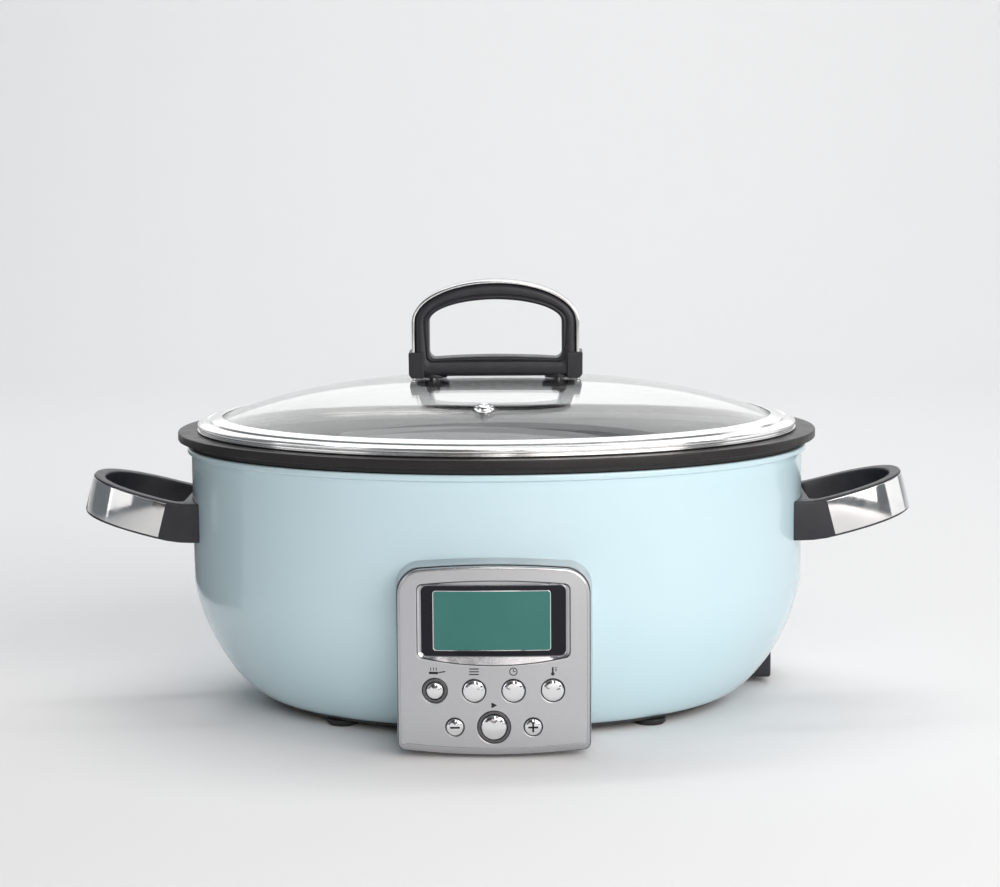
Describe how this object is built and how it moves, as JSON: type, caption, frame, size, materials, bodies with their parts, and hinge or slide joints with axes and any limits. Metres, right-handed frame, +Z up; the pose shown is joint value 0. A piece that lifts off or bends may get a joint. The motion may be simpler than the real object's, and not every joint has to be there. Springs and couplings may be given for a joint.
{
  "type": "slow cooker",
  "caption": "Oval electric slow cooker with lift-out pot, domed glass lid, looped side handles and a front control panel with display and push buttons.",
  "frame": {"origin": "centre of the bounding box, on the plane the feet stand on", "axes": "+Z up; +X to the right along the long axis, handle to handle; the control panel faces -Y"},
  "size_m": [0.5042, 0.291, 0.2582],
  "materials": {
    "body_paint": "glossy pale aqua enamel over drawn steel",
    "black_trim": "heat-resistant black",
    "base_plastic": "fine grain black",
    "liner_steel": "aluminised steel, dull",
    "cast_aluminium": "as cast, light machining on top",
    "element_sheath": "heat-darkened",
    "lead_insulation": "red silicone insulation",
    "sleeving": "off-white silicone and glass sleeving",
    "silicone": "translucent grey silicone",
    "circuit_board": "green solder mask",
    "bright_steel": "bright, lightly brushed",
    "chrome": "mirror plated",
    "pot_coating": "satin dark grey non-stick coating on a cast pot",
    "lid_glass": "clear tempered",
    "black_plastic": "satin black phenolic",
    "rubber": "dull black",
    "silver_plastic": "satin silver paint on plastic",
    "smoked_window": "dark smoked gloss",
    "lcd": "grey-green backlit display"
  },
  "bodies": {
    "base": {"outer_shell": "body_paint", "rim_ring": "black_trim", "heat_liner": "liner_steel", "base_cover": "base_plastic", "heater_plate": "cast_aluminium", "heater_element": "element_sheath", "heater_lead_left": "lead_insulation", "heater_lead_right": "lead_insulation", "thermal_fuse": "sleeving", "sensor_guide": "sleeving", "sensor_spring": "bright_steel", "power_board": "circuit_board", "control_board": "circuit_board", "key_mat": "silicone", "inlet_housing": "black_plastic", "inlet_socket": "black_plastic", "inlet_pin_line": "bright_steel", "inlet_pin_neutral": "bright_steel", "inlet_pin_earth": "bright_steel", "control_housing": "silver_plastic", "control_fascia": "silver_plastic", "display_bezel": "chrome", "display_window": "smoked_window", "lcd_screen": "lcd", "light_ring_sear": "smoked_window", "light_ring_start": "smoked_window", "foot_1": "rubber", "base_screw_1": "bright_steel", "foot_2": "rubber", "base_screw_2": "bright_steel", "foot_3": "rubber", "base_screw_3": "bright_steel", "foot_4": "rubber", "base_screw_4": "bright_steel", "handle_left_grip": "black_plastic", "handle_left_trim": "bright_steel", "handle_left_screw_front": "bright_steel", "handle_left_screw_rear": "bright_steel", "handle_right_grip": "black_plastic", "handle_right_trim": "bright_steel", "handle_right_screw_front": "bright_steel", "handle_right_screw_rear": "bright_steel"},
    "pot": {"inner_pot": "pot_coating"},
    "lid": {"lid_glass": "lid_glass", "lid_rim": "bright_steel", "lid_vent": "chrome", "lid_handle_grip": "black_plastic", "lid_handle_trim": "bright_steel", "lid_washer_left": "rubber", "lid_washer_right": "rubber", "lid_screw_left": "bright_steel", "lid_screw_right": "bright_steel"},
    "sensor": {"sensor_plunger": "cast_aluminium"},
    "button_sear": {"button_sear": "chrome"},
    "button_menu": {"button_menu": "chrome"},
    "button_time": {"button_time": "chrome"},
    "button_temp": {"button_temp": "chrome"},
    "button_minus": {"button_minus": "chrome"},
    "button_start": {"button_start": "chrome"},
    "button_plus": {"button_plus": "chrome"}
  },
  "joints": [
    {"name": "pot_lift", "type": "slide", "parent": "base", "child": "pot", "axis": [0, 0, 1], "range_m": [0, 0.16]},
    {"name": "lid_lift", "type": "slide", "parent": "pot", "child": "lid", "axis": [0, 0, 1], "range_m": [0, 0.12]},
    {"name": "sensor_press", "type": "slide", "parent": "base", "child": "sensor", "axis": [0, 0, 1], "range_m": [-0.003, 0], "stiffness_N_per_m": 300, "springref_m": 0.0015, "deforming": ["sensor_spring"]},
    {"name": "press_sear", "type": "slide", "parent": "base", "child": "button_sear", "axis": [0, 1, 0], "range_m": [0, 0.001], "stiffness_N_per_m": 600, "springref_m": -0.0006},
    {"name": "press_menu", "type": "slide", "parent": "base", "child": "button_menu", "axis": [0, 1, 0], "range_m": [0, 0.001], "stiffness_N_per_m": 600, "springref_m": -0.0006},
    {"name": "press_time", "type": "slide", "parent": "base", "child": "button_time", "axis": [0, 1, 0], "range_m": [0, 0.001], "stiffness_N_per_m": 600, "springref_m": -0.0006},
    {"name": "press_temp", "type": "slide", "parent": "base", "child": "button_temp", "axis": [0, 1, 0], "range_m": [0, 0.001], "stiffness_N_per_m": 600, "springref_m": -0.0006},
    {"name": "press_minus", "type": "slide", "parent": "base", "child": "button_minus", "axis": [0, 1, 0], "range_m": [0, 0.001], "stiffness_N_per_m": 600, "springref_m": -0.0006},
    {"name": "press_start", "type": "slide", "parent": "base", "child": "button_start", "axis": [0, 1, 0], "range_m": [0, 0.001], "stiffness_N_per_m": 600, "springref_m": -0.0006},
    {"name": "press_plus", "type": "slide", "parent": "base", "child": "button_plus", "axis": [0, 1, 0], "range_m": [0, 0.001], "stiffness_N_per_m": 600, "springref_m": -0.0006}
  ]
}
